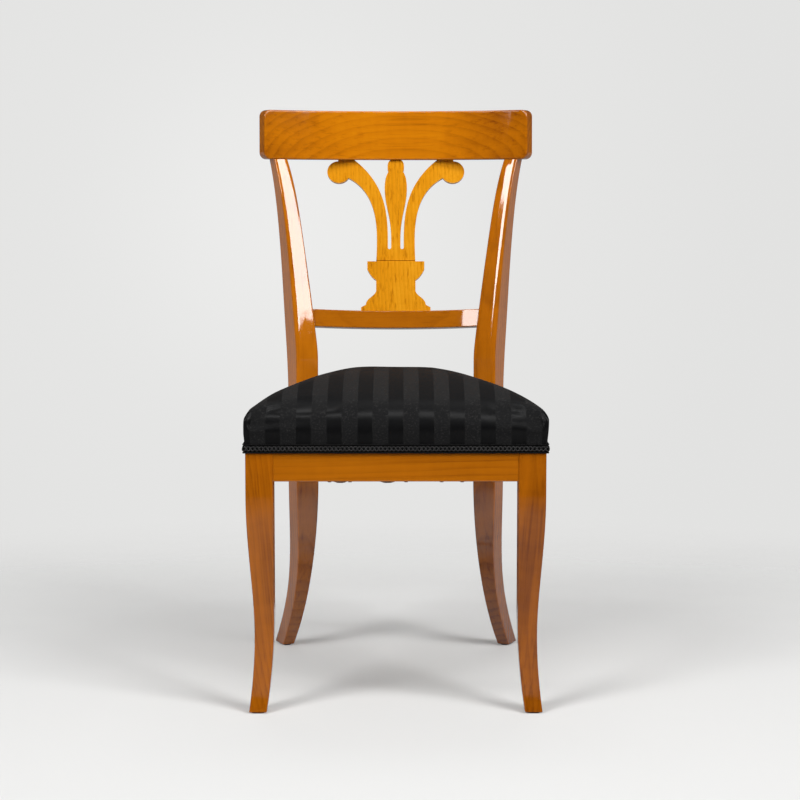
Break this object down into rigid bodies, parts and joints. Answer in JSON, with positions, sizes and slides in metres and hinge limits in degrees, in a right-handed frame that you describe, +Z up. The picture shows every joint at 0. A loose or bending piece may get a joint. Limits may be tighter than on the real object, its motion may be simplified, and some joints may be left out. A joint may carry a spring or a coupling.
{
  "type": "dining chair",
  "caption": "Polished wooden dining chair with sabre rear legs, a curved crest rail over a sawn palmette splat, and a sprung seat upholstered over its rails.",
  "frame": {"origin": "on the floor, below the middle of the chair's bounding box", "axes": "+Z up, +X to the right as seen by someone facing the chair, -Y the way the chair faces"},
  "size_m": [0.4512, 0.514, 0.9035],
  "materials": {
    "polished_wood": "high-gloss shellac polish on reddish-brown fruit wood",
    "plain_wood": "planed, unpolished",
    "striped_fabric": "black with alternating satin and matte stripes",
    "braid": "woven black braid with two corded edges",
    "felt": "pressed felt",
    "webbing": "coarse woven jute",
    "canvas": "plain woven",
    "stuffing": "curled hair",
    "steel": "drawn wire",
    "dark_iron": "blued"
  },
  "bodies": {
    "root": {"front_leg_left": "polished_wood", "front_leg_right": "polished_wood", "rear_leg_left": "polished_wood", "rear_leg_right": "polished_wood", "crest_rail": "polished_wood", "lower_back_rail": "polished_wood", "back_splat": "polished_wood", "front_seat_rail": "polished_wood", "side_seat_rail_left": "polished_wood", "side_seat_rail_right": "polished_wood", "rear_seat_rail": "polished_wood", "corner_block_front_left": "plain_wood", "corner_block_front_right": "plain_wood", "corner_block_rear_left": "plain_wood", "corner_block_rear_right": "plain_wood", "splat_dowels": "plain_wood", "seat_cover": "striped_fabric", "braid_front_and_sides": "braid", "braid_back": "braid", "foot_glide_front_left": "felt", "foot_glide_front_right": "felt", "foot_glide_rear_left": "felt", "foot_glide_rear_right": "felt", "webbing_lengthwise_left": "webbing", "webbing_lengthwise_centre": "webbing", "webbing_lengthwise_right": "webbing", "webbing_crosswise_front": "webbing", "webbing_crosswise_middle": "webbing", "webbing_crosswise_rear": "webbing", "spring_canvas": "canvas", "seat_stuffing": "stuffing", "seat_spring_front_left": "steel", "seat_spring_front_right": "steel", "seat_spring_middle": "steel", "seat_spring_rear_left": "steel", "seat_spring_rear_right": "steel", "corner_block_screws": "steel", "webbing_tacks": "dark_iron"}
  },
  "joints": []
}
